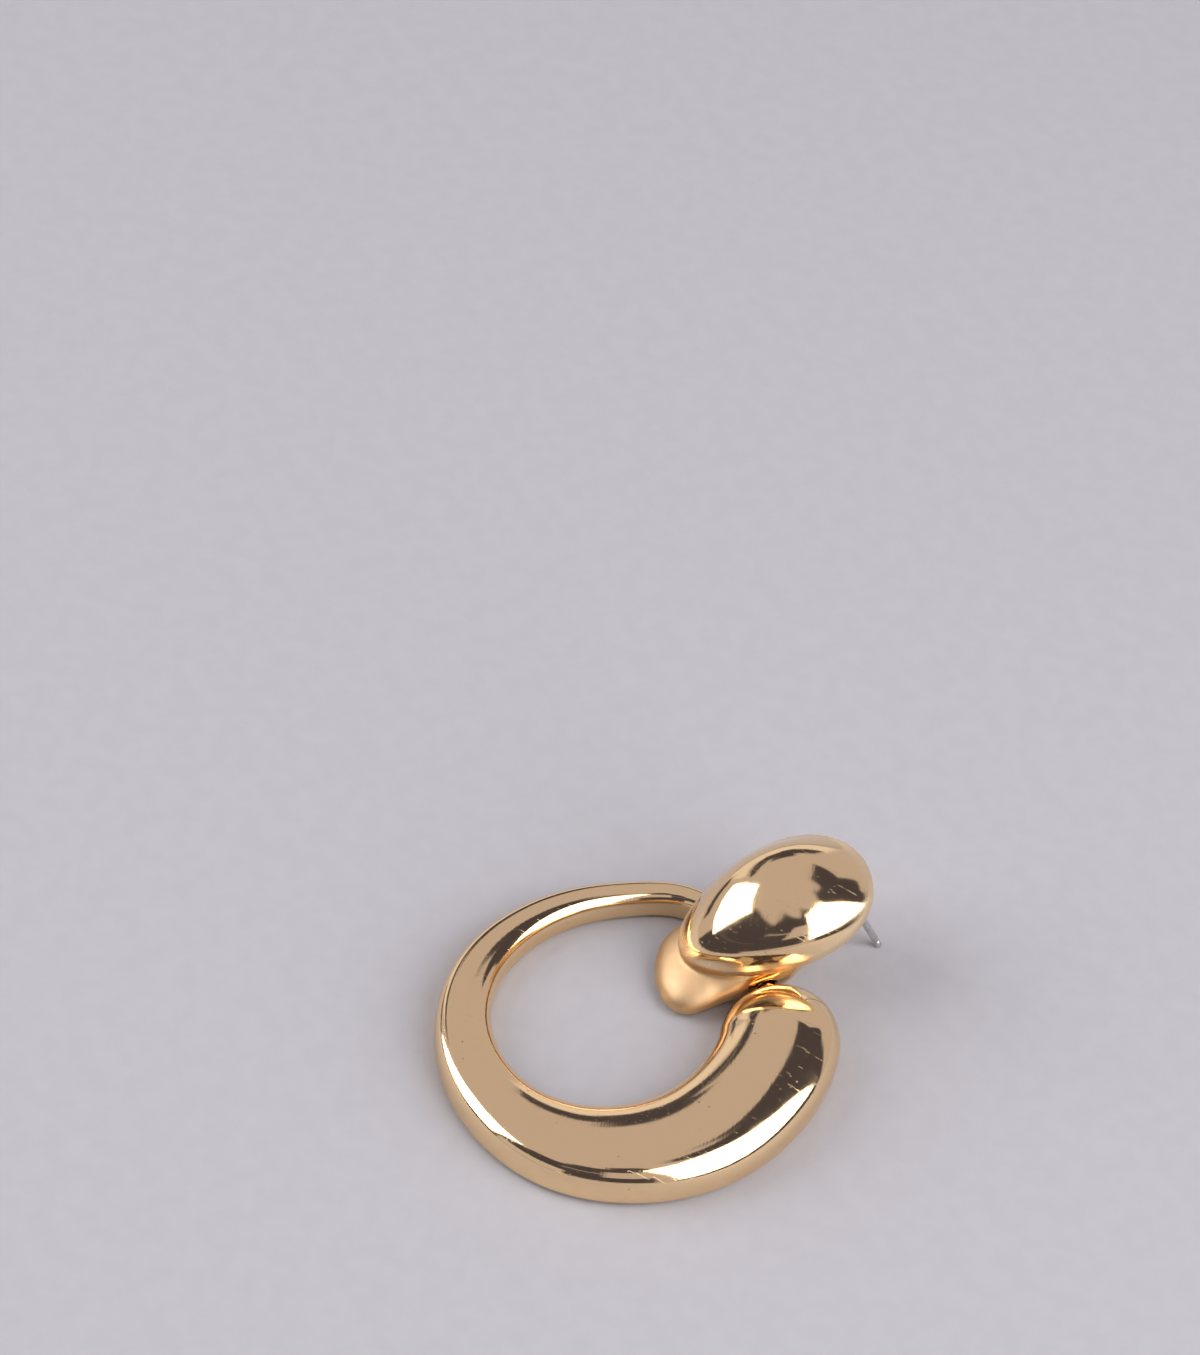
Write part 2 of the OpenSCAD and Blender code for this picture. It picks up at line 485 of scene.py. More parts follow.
def make_piece(
    name: str,
    points: Array,
    faces: Sequence[Sequence[int]],
    material: bpy.types.Material,
    normals: Array | None = None,
) -> bpy.types.Object:
    """Makes a smooth mesh object.

    Args:
        name: The piece's name.
        points: Places in millimetres in the frame of the solids.
        faces: Point numbers of each face.
        material: The finish.
        normals: The surface's own directions at the points.

    Returns:
        The new object, in the scene.
    """
    mesh = bpy.data.meshes.new(name)
    mesh.from_pydata((points * MM).tolist(), [], [list(map(int, face)) for face in faces])
    mesh.validate()
    mesh.shade_smooth()
    if normals is not None:
        mesh.normals_split_custom_set_from_vertices(normals.tolist())
    mesh.materials.append(material)
    piece = bpy.data.objects.new(name, mesh)
    bpy.context.scene.collection.objects.link(piece)
    return piece


def skin_faces(rings: int, sides: int) -> list[list[int]]:
    """Joins rings of points into a closed skin.

    Args:
        rings: How many rings there are.
        sides: How many points each ring has.

    Returns:
        The faces, with one face across each end.
    """
    faces = []
    for ring in range(rings - 1):
        for side in range(sides):
            a, b = ring * sides + side, ring * sides + (side + 1) % sides
            faces.append([a, b, b + sides, a + sides])
    faces.append(list(range(sides))[::-1])
    faces.append([(rings - 1) * sides + side for side in range(sides)])
    return faces


def smooth_rows(rows: Array, steps: Array) -> Array:
    """Reads a table between its rows, on a smooth curve through them.

    Args:
        rows: The table, a row for each station.
        steps: Places in the table, counted in rows.

    Returns:
        The values at those places.
    """
    last = len(rows) - 1
    low = np.clip(np.floor(steps).astype(int), 0, last - 1)
    part = (steps - low)[:, None]
    padded = np.vstack([2 * rows[0] - rows[1], rows, 2 * rows[-1] - rows[-2]])
    a, b, c, d = (padded[low + shift] for shift in range(4))
    cubic = 3 * b - a - 3 * c + d
    return 0.5 * (2 * b + (c - a) * part + (2 * a - 5 * b + 4 * c - d) * part**2 + cubic * part**3)


@dataclass(frozen=True)
class Outline:
    """A closed section that rounds off by a power of its own at each quarter.

    Power 2 rounds like an ellipse, and more makes a flatter side with a tighter corner. Outer,
    inner and base are the powers of the two shoulders and of the underside, and the waist is the
    height of the widest line, as a share of the whole.
    """

    half_width: float
    height: float
    crest: float
    outer: float
    inner: float
    waist: float = 0.35
    base: float = 4.0
    fine: int = 1600

    def points(self, sides: int) -> Array:
        """Gives points at even steps along the section.

        Args:
            sides: How many points to give.

        Returns:
            Distance outwards and level of each point.
        """
        angle = np.linspace(0.0, 2 * math.pi, self.fine, endpoint=False)
        out, up = np.cos(angle), np.sin(angle)
        power = 2 / np.where(up > 0, np.where(out > 0, self.outer, self.inner), self.base)
        middle = self.waist * self.height
        swing = np.sign(out) * np.abs(out) ** power
        across = self.half_width * (self.crest + (1 - np.sign(out) * self.crest) * swing)
        reach = np.where(up > 0, self.height - middle, middle)
        level = middle + reach * np.sign(up) * np.abs(up) ** power
        loop = np.column_stack([across, level])
        closed = np.vstack([loop, loop[:1]])
        steps = np.linalg.norm(np.diff(closed, axis=0), axis=1)
        length = np.concatenate([[0.0], np.cumsum(steps)])
        even = np.linspace(0.0, length[-1], sides, endpoint=False)
        return np.column_stack([np.interp(even, length, closed[:, k]) for k in range(2)])


def table_of(stations: Sequence[object]) -> Array:
    """Gives the fields of each station as a row of a table."""
    return np.array([astuple(station) for station in stations], float)


@dataclass(frozen=True)
class HoopStation:
    """One section of the hoop, clockwise from the fat end.

    The crest is the highest line's distance outwards from the middle, as a share of the half
    width. Outer and inner are the roundness of the two shoulders.
    """

    angle: float
    radius: float
    half_width: float
    height: float
    crest: float
    outer: float
    inner: float


@dataclass(frozen=True)
class LoopStation:
    """One section of the stud's loop, from the tongue's tip to the strap."""

    along: float
    middle: float
    half_width: float
    underside: float
    top: float


@dataclass
class DropRing:
    """The crescent hoop and the neck bar that closes it, one casting."""

    gold: bpy.types.Material
    fat_nose: float = 7.8
    thin_nose: float = 1.0
    neck_radius: float = 1.0
    neck_y: float = 16.7
    neck_z: float = 2.3
    neck_from: float = -10.4
    neck_to: float = 4.6
    neck_sides: int = 64
    neck_steps: int = 40
    sides: int = 96
    steps_per_row: int = 26
    nose_steps: int = 40
    travel_step: float = 0.02
    stations: list[HoopStation] = field(
        default_factory=lambda: [
            HoopStation(56, 16.41, 6.57, 7.18, 0.10, 2.2, 2.0),
            HoopStation(27, 15.38, 6.48, 6.42, 0.12, 2.3, 2.0),
            HoopStation(0, 15.36, 6.32, 5.80, 0.15, 2.6, 2.0),
            HoopStation(-27, 15.84, 5.86, 5.44, 0.20, 3.0, 2.0),
            HoopStation(-55, 16.68, 5.21, 5.10, 0.22, 3.2, 2.0),
            HoopStation(-85, 17.13, 4.05, 4.72, 0.22, 3.2, 2.0),
            HoopStation(-115, 17.45, 3.18, 4.49, 0.20, 3.2, 2.2),
            HoopStation(-145, 17.53, 2.56, 4.07, 0.15, 3.4, 2.5),
            HoopStation(-175, 17.75, 2.04, 3.66, 0.10, 3.4, 2.7),
            HoopStation(-205, 18.57, 1.66, 3.48, 0.00, 3.2, 2.8),
            HoopStation(-225, 19.82, 1.48, 3.59, 0.00, 3.0, 2.8),
            HoopStation(-234, 19.91, 1.42, 3.69, 0.00, 2.8, 2.8),
            HoopStation(-238.5, 19.80, 1.37, 3.79, 0.00, 2.8, 2.8),
        ]
    )

    def _middle(self, steps: Array) -> Array:
        """Gives the middle of the hoop's sections.

        Args:
            steps: Places in the table, counted in rows.

        Returns:
            X and Y of each place.
        """
        row = smooth_rows(table_of(self.stations), steps)
        angle = np.radians(row[:, 0])
        return row[:, 1, None] * np.column_stack([np.cos(angle), np.sin(angle)])

    def _rings(self) -> Array:
        """Works out every section, with those of the rounded noses beyond both ends.

        Returns:
            Points as rings by sides by three.
        """
        last = len(self.stations) - 1
        turn = np.linspace(0, math.pi / 2, self.nose_steps + 2)[1:-1]
        body = np.linspace(0, last, last * self.steps_per_row + 1)
        steps = np.concatenate([np.zeros_like(turn), body, np.full_like(turn, last)])
        fat, thin = -self.fat_nose * np.cos(turn), self.thin_nose * np.sin(turn)
        beyond = np.concatenate([fat, np.zeros_like(body), thin])
        scale = np.concatenate([np.sin(turn), np.ones_like(body), np.cos(turn)])
        row = smooth_rows(table_of(self.stations), steps)
        travel = self._middle(steps + self.travel_step) - self._middle(steps - self.travel_step)
        travel /= np.linalg.norm(travel, axis=1)[:, None]
        middle = self._middle(steps) + travel * beyond[:, None]
        across = np.column_stack([-travel[:, 1], travel[:, 0]])
        rings = []
        for k in range(len(steps)):
            outline = Outline(*row[k, 2:])
            loop = outline.points(self.sides)
            level = outline.waist * outline.height
            out = loop[:, :1] * scale[k]
            high = level + (loop[:, 1] - level) * scale[k]
            rings.append(np.column_stack([middle[k] + across[k] * out, high]))
        return np.array(rings)

    def build(self) -> bpy.types.Object:
        """Builds the hoop with its neck bar.

        Returns:
            The piece that stands for the drop ring's solid.
        """
        rings = self._rings()
        points = rings.reshape(-1, 3) + HOOP_CENTRE
        faces = skin_faces(len(rings), self.sides)
        hoop = make_piece("hoop_and_neck_bar", points, faces, self.gold)
        bar = self._neck_bar()
        union = hoop.modifiers.new("neck", "BOOLEAN")
        union.operation, union.solver, union.object = "UNION", "MANIFOLD", bar
        apply_modifiers(hoop)
        bpy.data.objects.remove(bar)
        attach(hoop, Body.HOOP.value)
        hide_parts("drop_ring")
        LOG.info("hoop: %d faces", len(hoop.data.polygons))
        return hoop

    def _neck_bar(self) -> bpy.types.Object:
        """Makes the neck bar for the union.

        Returns:
            A closed round bar.
        """
        angle = np.linspace(0, 2 * math.pi, self.neck_sides, endpoint=False)
        y = self.neck_y + self.neck_radius * np.cos(angle)
        z = self.neck_z + self.neck_radius * np.sin(angle)
        stops = np.linspace(self.neck_from, self.neck_to, self.neck_steps)
        points = np.vstack([np.column_stack([np.full(len(y), x), y, z]) for x in stops])
        faces = skin_faces(self.neck_steps, self.neck_sides)
        return make_piece("neck_bar_blank", points + HOOP_CENTRE, faces, self.gold)


def apply_modifiers(piece: bpy.types.Object) -> None:
    """Turns a piece's modifiers into its mesh.

    Args:
        piece: The object.
    """
    graph = bpy.context.evaluated_depsgraph_get()
    mesh = bpy.data.meshes.new_from_object(piece.evaluated_get(graph))
    piece.modifiers.clear()
    piece.data = mesh
    mesh.shade_smooth()


def slope_of(surface: Field, points: Array, step: float = 0.01) -> Array:
    """Measures the slope of a field.

    Args:
        surface: The field.
        points: Where to measure.
        step: The spacing of the two samples along each axis.

    Returns:
        The slope along X, Y and Z at each point.
    """
    slopes = []
    for axis in range(3):
        push = np.zeros(3)
        push[axis] = step / 2
        slopes.append((surface(points + push) - surface(points - push)) / step)
    return np.column_stack(slopes)


def soft_union(first: Array, second: Array, fillet: float) -> Array:
    """Joins two fields, negative inside, with a fillet of a given reach between them."""
    share = np.clip(0.5 + 0.5 * (second - first) / fillet, 0.0, 1.0)
    return second + (first - second) * share - fillet * share * (1 - share)


class SurfaceNet:
    """Turns a field into a closed mesh of quads that lies on its zero surface.

    A correction of a point is at most longest_move cells long, and the two least values keep
    divisions away from zero.
    """

    least_slope: float = 1e-6
    least_move: float = 1e-9
    longest_move: float = 0.5
    relax_rounds: int = 6
    first_seating: int = 3
    last_seating: int = 2

    def __init__(self, surface: Field, low: Array, high: Array, cell: float) -> None:
        """Samples the field.

        Args:
            surface: The field, negative inside.
            low: The grid's lowest corner.
            high: The grid's highest corner.
            cell: The grid's spacing.
        """
        self.surface = surface
        self.low = low
        self.cell = cell
        axes = [np.arange(low[k], high[k] + cell, cell) for k in range(3)]
        grid = np.stack(np.meshgrid(*axes, indexing="ij"), -1)
        self.values = surface(grid.reshape(-1, 3)).reshape(grid.shape[:3])

    def _points(self) -> tuple[Array, Array]:
        """Places one point in each cell that the surface crosses.

        Returns:
            The points, and each cell's point number or -1.
        """
        size = np.array(self.values.shape) - 1
        corner = {
            move: self.values[tuple(slice(m, m + s) for m, s in zip(move, size))]
            for move in itertools.product((0, 1), repeat=3)
        }
        inside = sum((value < 0).astype(int) for value in corner.values())
        mixed = (inside > 0) & (inside < 8)
        number = np.full(mixed.shape, -1)
        number[mixed] = np.arange(mixed.sum())
        total = np.zeros((mixed.sum(), 3))
        count = np.zeros((mixed.sum(), 1))
        for axis in range(3):
            for move in corner:
                if move[axis]:
                    continue
                end = tuple(1 if k == axis else m for k, m in enumerate(move))
                a, b = corner[move][mixed], corner[end][mixed]
                cross = (a < 0) != (b < 0)
                place = np.tile(np.array(move, float), (len(a), 1))
                place[cross, axis] = (a / np.where(a == b, 1.0, a - b))[cross]
                total += place * cross[:, None]
                count += cross[:, None]
        return self.low + (np.argwhere(mixed) + total / count) * self.cell, number

    def _faces(self, number: Array) -> Array:
        """Joins the points around each grid edge that the surface crosses.

        Args:
            number: Each cell's point number.

        Returns:
            Four point numbers a face, facing outwards.
        """
        inside = self.values < 0
        faces = []
        for axis in range(3):
            one, two = (axis + 1) % 3, (axis + 2) % 3
            start = inside.take(range(inside.shape[axis] - 1), axis)
            end = inside.take(range(1, inside.shape[axis]), axis)
            for outward in (True, False):
                where = np.argwhere((start & ~end) if outward else (~start & end))
                for side in (one, two):
                    where = where[(where[:, side] > 0) & (where[:, side] < number.shape[side])]
                corners = []
                for back_one, back_two in ((1, 1), (0, 1), (0, 0), (1, 0)):
                    cell = where.copy()
                    cell[:, one] -= back_one
                    cell[:, two] -= back_two
                    corners.append(number[tuple(cell.T)])
                faces.append(np.column_stack(corners if outward else corners[::-1]))
        return np.vstack(faces)

    def _seat(self, points: Array, rounds: int) -> Array:
        """Moves points along the field's slope until they lie on the surface.

        Args:
            points: The points.
            rounds: How often to correct them.

        Returns:
            The seated points.
        """
        for _ in range(rounds):
            slope = slope_of(self.surface, points)
            steep = np.maximum((slope**2).sum(1), self.least_slope)
            move = slope * (self.surface(points) / steep)[:, None]
            length = np.maximum(np.linalg.norm(move, axis=1), self.least_move)[:, None]
            points = points - move * np.minimum(1.0, self.longest_move * self.cell / length)
        return points

    def mesh(self) -> tuple[Array, Array, Array]:
        """Makes the mesh, with its points evened out.

        Returns:
            Points, faces and the surface's direction at each point.
        """
        points, number = self._points()
        faces = self._faces(number)
        edges = np.vstack([faces[:, [k, (k + 1) % 4]] for k in range(4)])
        points = self._seat(points, self.first_seating)
        for _ in range(self.relax_rounds):
            total, count = np.zeros_like(points), np.zeros(len(points))
            for a, b in ((0, 1), (1, 0)):
                np.add.at(total, edges[:, a], points[edges[:, b]])
                np.add.at(count, edges[:, a], 1)
            points = self._seat(0.5 * points + 0.5 * total / count[:, None], 1)
        points = self._seat(points, self.last_seating)
        slope = slope_of(self.surface, points)
        return points, faces, slope / np.linalg.norm(slope, axis=1)[:, None]


@dataclass(frozen=True)
class Dome:
    """The puffed, egg-shaped top of the stud.

    The crown rises by a plan power and a rise power of its own. Its height falls off towards both
    ends and both sides, and leans to one side in the middle and to the other at the rim. Its
    middle is given about the hoop's centre, and its three turns are in degrees.
    """

    half_length: float = 11.15
    half_width: float = 7.5
    egg: float = 0.2
    crown: float = 4.9
    plan_power: float = 8.3
    rise_power: float = 1.3
    base: float = 0.2
    end_fall: float = 0.88
    side_fall: float = 0.64
    side_lean: float = 0.17
    rim_lean: float = 0.43
    wall: float = 2.0
    edge: float = 1.2
    middle: Triple = (-3.22, 19.48, 9.31)
    pitch: float = 19.5
    roll: float = 3.4
    turn: float = -7.6
    least_taper: float = 0.2
    least_fullness: float = 0.02
    least_slope: float = 0.1

    def axes(self) -> Array:
        """Gives the dome's own axes as the columns of a matrix."""
        turns = ((self.turn, "Z"), (self.roll, "Y"), (self.pitch, "X"))
        matrix = Matrix.Identity(3)
        for degrees, axis in turns:
            matrix = matrix @ Matrix.Rotation(math.radians(degrees), 3, axis)
        return np.array(matrix)

    def _level(self, points: Array) -> Array:
        """Gives a value that is zero on the dome's surface and negative inside.

        Args:
            points: Places about the hoop's centre.

        Returns:
            The value at each place.
        """
        x, y, z = ((points - np.array(self.middle)) @ self.axes()).T
        along = y / self.half_length
        across = x / (self.half_width * np.maximum(1 + self.egg * along, self.least_taper))
        plan = np.hypot(across, along)
        lean = across * (self.side_lean - self.rim_lean * plan**2)
        full = 1 - self.end_fall * along**2 - self.side_fall * across**2 - lean
        crown = self.crown * np.maximum(full, self.least_fullness)
        rise = np.maximum(z + self.base, 0.0) / (crown + self.base)
        reach = (plan**self.plan_power + rise**self.rise_power) ** (1 / self.plan_power)
        side = (reach - 1) * self.half_width + self.edge
        back = -(z + self.wall) + self.edge
        corner = np.hypot(np.maximum(side, 0.0), np.maximum(back, 0.0))
        return np.minimum(np.maximum(side, back), 0.0) + corner - self.edge

    def field(self, points: Array) -> Array:
        """Gives roughly the millimetres from the dome's surface, negative inside."""
        steepness = np.linalg.norm(slope_of(self._level, points), axis=1)
        return self._level(points) / np.maximum(steepness, self.least_slope)


@dataclass
class Stud:
    """The dome and the loop that curls under the neck bar, one casting."""

    gold: bpy.types.Material
    dome: Dome = Dome()
    tongue_nose: float = 0.12
    widest: float = 0.45
    upper: float = 2.1
    lower: float = 2.4
    fillet: float = 0.7
    tunnel_radius: float = 1.35
    tunnel_y: float = 16.7
    tunnel_z: float = 2.3
    mouth_round: float = 0.3
    cell: float = 0.2
    grid_margin: float = 3.0
    loop_steps: int = 600
    least_size: float = 1e-3
    stations: list[LoopStation] = field(
        default_factory=lambda: [
            LoopStation(6.20, -2.55, 0.75, 0.95, 1.75),
            LoopStation(6.64, -2.85, 2.20, 0.55, 2.45),
            LoopStation(7.38, -3.20, 3.34, 0.22, 3.05),
            LoopStation(8.39, -3.65, 4.26, 0.05, 3.60),
            LoopStation(9.78, -4.10, 4.95, 0.00, 4.25),
            LoopStation(11.40, -4.30, 5.25, 0.00, 5.00),
            LoopStation(13.80, -4.05, 5.45, 0.00, 6.40),
            LoopStation(16.00, -3.75, 5.40, 0.00, 7.30),
            LoopStation(18.00, -3.50, 5.50, 0.00, 7.90),
            LoopStation(19.00, -3.35, 5.60, 0.50, 8.10),
            LoopStation(20.00, -3.25, 5.65, 2.10, 8.40),
            LoopStation(21.00, -3.20, 5.65, 4.20, 8.80),
            LoopStation(22.50, -3.20, 5.60, 7.60, 9.60),
        ]
    )

    def _loop_field(self, points: Array) -> Array:
        """Gives roughly the distance from the loop's surface.

        Args:
            points: Places about the hoop's centre.

        Returns:
            Millimetres, negative inside.
        """
        table = table_of(self.stations)
        dense = smooth_rows(table, np.linspace(0, len(table) - 1, self.loop_steps))
        along = points[:, 1]
        middle, half, low, high = (np.interp(along, dense[:, 0], dense[:, k]) for k in range(1, 5))
        low = np.maximum(low, 0.0)
        level = low + self.widest * (high - low)
        above = points[:, 2] > level
        power = np.where(above, self.upper, self.lower)
        reach = np.where(above, high - level, level - low)
        u = np.abs(points[:, 0] - middle) / half
        v = np.abs(points[:, 2] - level) / reach
        size = np.maximum((u**power + v**power) ** (1 / power), self.least_size)
        steep = np.hypot((u / size) ** (power - 1) / half, (v / size) ** (power - 1) / reach)
        tip = np.maximum(table[0, 0] - along, 0.0) / self.tongue_nose
        distance = (np.hypot(size, tip) - 1) / np.maximum(steep, 1 / half)
        return np.maximum(distance, along - table[-1, 0])

    def _field(self, points: Array) -> Array:
        """Gives roughly the distance from the stud's surface.

        Args:
            points: Places about the hoop's centre.

        Returns:
            Millimetres, negative inside.
        """
        joined = soft_union(self.dome.field(points), self._loop_field(points), self.fillet)
        axis = np.hypot(points[:, 1] - self.tunnel_y, points[:, 2] - self.tunnel_z)
        return -soft_union(-joined, axis - self.tunnel_radius, self.mouth_round)

    def build(self) -> bpy.types.Object:
        """Builds the stud.

        Returns:
            The piece that stands for the stud's solid.
        """
        low, high = (np.array(corner) / MM - HOOP_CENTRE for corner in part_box("stud"))
        margin = self.grid_margin * self.cell
        net = SurfaceNet(self._field, low - margin, high + margin, self.cell)
        points, faces, normals = net.mesh()
        points[:, 2] = np.maximum(points[:, 2], 0.0)
        stud = make_piece("puffed_stud", points + HOOP_CENTRE, faces, self.gold, normals)
        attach(stud, Body.STUD.value)
        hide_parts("stud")
        LOG.info("stud: %d faces", len(stud.data.polygons))
        return stud


@dataclass
class EarPost:
    """The straight post on the stud's back, with the groove near its rounded tip.

    It is placed by the middle of its rounded end, which rests on the table: rest is that point's
    X and Y about the hoop's centre. The lean is from the upright, the bearing from +X.
    """

    steel: bpy.types.Material
    dome: Dome = Dome()
    radius: float = 0.4
    lean: float = 28.1
    bearing: float = 64.6
    rest: Pair = (0.46, 32.02)
    above: float = 0.02
    notch_from_tip: float = 1.15
    notch_width: float = 0.6
    notch_depth: float = 0.1
    collar_radius: float = 0.75
    collar_rim: float = 0.2
    collar_height: float = 0.5
    collar_steps: int = 6
    shank_from_collar: float = 0.05
    shank_steps: int = 30
    notch_steps: int = 13
    tip_turn: float = 88.0
    tip_steps: int = 16
    sides: int = 48

    def _profile(self, length: float) -> Array:
        """Gives the post's radius along its length.

        Args:
            length: The length from the foot's middle to the middle of the rounded end.

        Returns:
            Distance from the middle of the rounded end, up the post, and radius of each ring.
        """
        groove = self.notch_from_tip - self.radius
        half = self.notch_width / 2
        ends = (length - self.collar_rim, length - self.collar_height)
        cone = np.linspace(*ends, self.collar_steps)
        cone_radii = np.linspace(self.collar_radius, self.radius, self.collar_steps)
        shank = np.linspace(ends[1] - self.shank_from_collar, groove + half, self.shank_steps)
        notch = np.linspace(1.0, -1.0, self.notch_steps)[1:-1]
        dip = self.radius - self.notch_depth * 0.5 * (1 + np.cos(math.pi * notch))
        turn = np.radians(np.linspace(0, self.tip_turn, self.tip_steps))
        tip, tip_radii = -self.radius * np.sin(turn), self.radius * np.cos(turn)
        places = np.concatenate([cone, shank, groove + notch * half, [groove - half], tip])
        plain = np.full(self.shank_steps, self.radius)
        radii = np.concatenate([cone_radii, plain, dip, [self.radius], tip_radii])
        return np.column_stack([places, radii])

    def build(self) -> bpy.types.Object:
        """Builds the post, with its foot trimmed to the dome's back.

        Returns:
            The piece that stands for the post's solid.
        """
        lean, bearing = math.radians(self.lean), math.radians(self.bearing)
        flat = math.sin(lean)
        down = np.array([flat * math.cos(bearing), flat * math.sin(bearing), -math.cos(lean)])
        side = np.cross(down, [1.0, 0.0, 0.0])
        side /= np.linalg.norm(side)
        end = np.array([*self.rest, self.radius + self.above])
        angle = np.linspace(0, 2 * math.pi, self.sides, endpoint=False)
        across = np.cos(angle)[:, None] * side + np.sin(angle)[:, None] * np.cross(down, side)
        out = self.dome.axes()[:, 2]
        lift = (end - np.array(self.dome.middle)) @ out + self.dome.wall
        length = lift / (down @ out)
        slant = (across * self.collar_radius) @ out / (down @ out)
        foot = end + across * self.collar_radius - down * (length + slant)[:, None]
        profile = self._profile(length)
        rings = [foot, *(end - down * place + across * radius for place, radius in profile)]
        points = np.vstack(rings) + HOOP_CENTRE
        post = make_piece("ear_post_wire", points, skin_faces(len(rings), self.sides), self.steel)
        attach(post, Body.STUD.value)
        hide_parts("ear_post")
        LOG.info("post: %d faces", len(post.data.polygons))
        return post


@dataclass(frozen=True)
class SoftBox:
    """An upright rectangular soft light, placed by the angles at which the earring sees it.

    Angles are in degrees, the spread is half the width, and the distance is in metres. The light
    falls on one body alone, or on the hoop and the table.
    """

    name: str
    azimuth: float
    spread: float
    bottom: float
    top: float
    distance: float
    radiance: float
    roll: float = 0.0
    lit: Body = Body.HOOP

    def build(self, pieces: Mapping[Body, Sequence[bpy.types.Object]]) -> bpy.types.Object:
        """Makes the light.

        Args:
            pieces: What each body's lights fall on.

        Returns:
            The light object.
        """
        angles = (math.radians(angle) for angle in (self.bottom, self.top))
        low, high = (self.distance * math.tan(angle) for angle in angles)
        data = bpy.data.lights.new(self.name, "AREA")
        data.shape = "RECTANGLE"
        data.size = 2 * self.distance * math.tan(math.radians(self.spread))
        data.size_y = high - low
        data.energy = self.radiance * math.pi * data.size * data.size_y
        light = bpy.data.objects.new(self.name, data)
        away = STUDIO_FRAME.towards(self.azimuth, 0.0)
        place = away * self.distance + Vector((0.0, 0.0, (low + high) / 2))
        roll = Matrix.Rotation(math.radians(self.roll), 3, "Z")
        turn = away.to_track_quat("Z", "Y").to_matrix() @ roll
        light.matrix_world = Matrix.Translation(place) @ turn.to_4x4()
        light.visible_camera = False
        group = bpy.data.collections.new(f"{self.name}_lights")
        for piece in pieces[self.lit]:
            group.objects.link(piece)
        light.light_linking.receiver_collection = group
        bpy.context.scene.collection.objects.link(light)
        return light


@dataclass(frozen=True)
class RoomZone:
    """A part of the room that differs from the rest, a leaning shape between two elevations.

    The left and right edges are given at the bottom and at the top. All is in degrees, apart from
    the share, which says how far the zone takes on its own tone.
    """

    bottom: float
    top: float
    left_low: float
    right_low: float
    left_high: float
    right_high: float
    soft: float = 3.0
    share: float = 0.95

    def mask(self, azimuth: Signal, elevation: Signal) -> Signal:
        """Gives how far each direction belongs to the zone.

        Args:
            azimuth: The direction's azimuth.
            elevation: The direction's elevation.

        Returns:
            The zone's mask.
        """
        half, height = self.soft / 2, self.top - self.bottom
        climb = (elevation - self.bottom) / height
        left = climb * (self.left_high - self.left_low) + self.left_low
        right = climb * (self.right_high - self.right_low) + self.right_low
        sides = (azimuth - left).ramp(-half, half) * (right - azimuth).ramp(-half, half)
        return sides * elevation.band(self.bottom, self.top, self.soft) * self.share


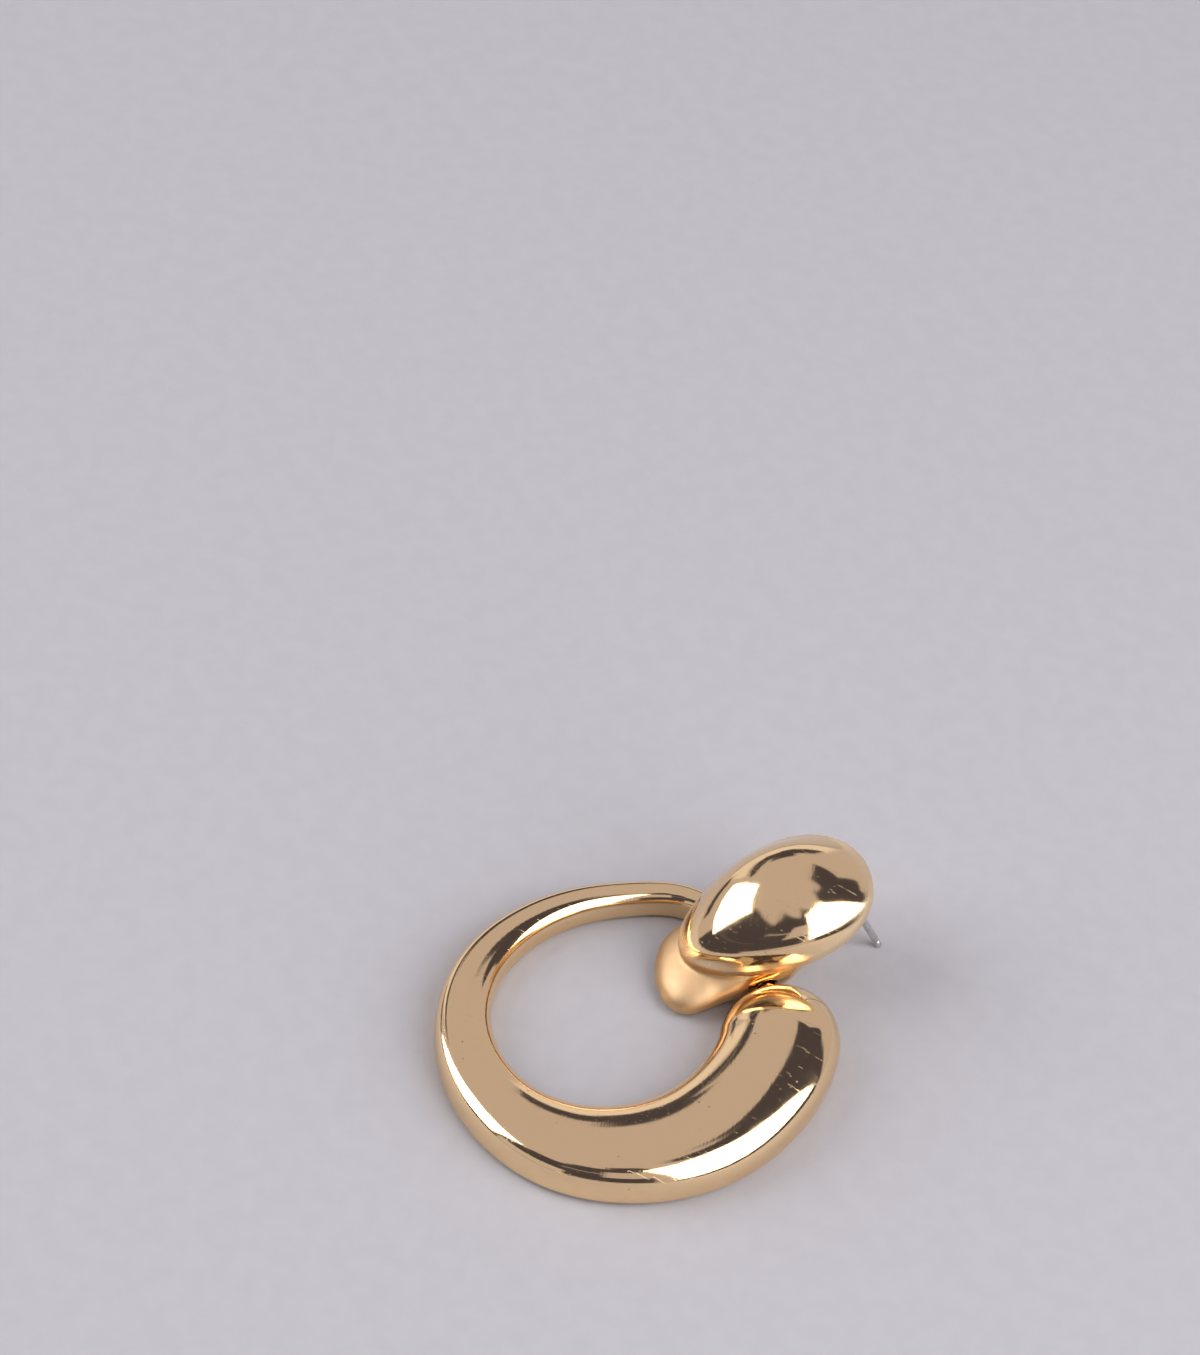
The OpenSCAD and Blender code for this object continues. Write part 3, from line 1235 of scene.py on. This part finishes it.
@dataclass
class Studio:
    """The table, the soft lights, and the room with its dark and its pale parts."""

    paper: bpy.types.Material
    room: Colour = (0.555, 0.527, 0.563, 1.0)
    shade: Colour = (0.045, 0.043, 0.064, 1.0)
    glow: Colour = (0.86, 0.82, 0.83, 1.0)
    backdrop: Colour = (0.56, 0.55, 0.57, 1.0)
    table_size: float = 4000.0
    lights: list[SoftBox] = field(
        default_factory=lambda: [
            SoftBox("left_softbox", -89, 25, 10, 57, 0.8, 3.6),
            SoftBox("right_softbox", 118, 33, 9, 71, 0.55, 3.6, 4),
            SoftBox("left_hoop_fill", -138, 21, 1, 26, 0.8, 0.5),
            SoftBox("left_stud_softbox", -89, 27, 25, 62, 0.8, 3.4, -12, Body.STUD),
            SoftBox("right_stud_softbox", 122, 37, 15, 79, 0.55, 3.6, 5, Body.STUD),
        ]
    )
    dark: list[RoomZone] = field(
        default_factory=lambda: [
            RoomZone(48, 71, 14, 86, 26, 82),
            RoomZone(66, 79, 40, 90, 58, 90),
            RoomZone(29, 52, 46, 89, 38, 86),
            RoomZone(4, 32, 76, 91, 58, 88),
            RoomZone(0, 9, 80, 146, 80, 146),
            RoomZone(28, 42, -40, -22, -52, -44),
            RoomZone(16, 28, -22, 12, -40, 8),
            RoomZone(14, 35, -12, -3, -24, -4),
            RoomZone(4, 12, -75, -40, -75, -48),
            RoomZone(-2, 27, -157, -94, -157, -104),
            RoomZone(26, 60, -160, -106, -150, -122),
            RoomZone(59, 80, 160, 185, 160, 185),
            RoomZone(62, 80, 142, 165, 146, 165),
            RoomZone(48, 72, -185, -146, -185, -150),
            RoomZone(5, 30, 156, 185, 156, 185),
            RoomZone(5, 46, -185, -155, -185, -155),
        ]
    )
    pale: list[RoomZone] = field(
        default_factory=lambda: [
            RoomZone(1, 17, -44, 14, -38, 14, 5),
            RoomZone(12, 30, -46, -26, -50, -44, 4),
        ]
    )

    def build(self, hoop: Sequence[bpy.types.Object], stud: Sequence[bpy.types.Object]) -> None:
        """Makes the table, the lights and the room.

        Args:
            hoop: The hoop's pieces.
            stud: The stud's pieces.
        """
        corners = np.array([[-1, -1, 0], [1, -1, 0], [1, 1, 0], [-1, 1, 0]])
        corners = corners * (self.table_size / 2)
        table = make_piece("table", corners, [[0, 1, 2, 3]], self.paper)
        for light in self.lights:
            light.build({Body.STUD: stud, Body.HOOP: [*hoop, table]})
        self._room()
        LOG.info("studio: %d lights", len(self.lights))

    def _room(self) -> None:
        """Makes the room's light, which the camera itself sees as a plain pale backdrop."""
        world = bpy.data.worlds.new("room")
        world.use_nodes = True
        bpy.context.scene.world = world
        graph = ShaderGraph(world.node_tree)
        look = graph.add("ShaderNodeTexCoord", output="Generated")
        axes = (STUDIO_FRAME.direction(axis)[:] for axis in ((1, 0, 0), (0, 1, 0), (0, 0, 1)))
        right, away, up = (look.along(axis) for axis in axes)
        azimuth, elevation = right.azimuth_from(away), up.elevation()
        tone = graph.mix_colour(self._all(self.pale, azimuth, elevation), self.room, self.glow)
        tone = graph.mix_colour(self._all(self.dark, azimuth, elevation), tone, self.shade)
        lit = graph.add("ShaderNodeBackground", None, {"Color": tone})
        plain = graph.add("ShaderNodeBackground", None, {"Color": self.backdrop})
        seen = graph.add("ShaderNodeLightPath", output="Is Camera Ray")
        both = graph.add("ShaderNodeMixShader", None, {0: seen, 1: lit, 2: plain})
        graph.add("ShaderNodeOutputWorld", None, {"Surface": both})

    @staticmethod
    def _all(zones: Sequence[RoomZone], azimuth: Signal, elevation: Signal) -> Signal:
        """Joins the masks of several zones.

        Args:
            zones: The zones.
            azimuth: The direction's azimuth.
            elevation: The direction's elevation.

        Returns:
            The joined mask.
        """
        masks = [zone.mask(azimuth, elevation) for zone in zones]
        return reduce(Signal.at_least, masks)


def main() -> None:
    """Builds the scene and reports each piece."""
    logging.basicConfig(level=logging.INFO, format="%(name)s: %(message)s")
    bpy.context.scene.view_settings.view_transform = "Standard"
    PhotoCamera().build()
    steel = SteelWire().build()
    hoop = DropRing(GoldPlate("hoop_gold_plate").build()).build()
    # The stud's satin also turns on its painted sheen on the dome's rim and painted shade on the
    # tongue.
    stud = Stud(GoldPlate("stud_gold_with_painted_shade_and_sheen", satin=0.42).build()).build()
    post = EarPost(steel).build()
    Studio(TablePaper().build()).build([hoop], [stud, post])


if __name__ == "__main__":
    main()
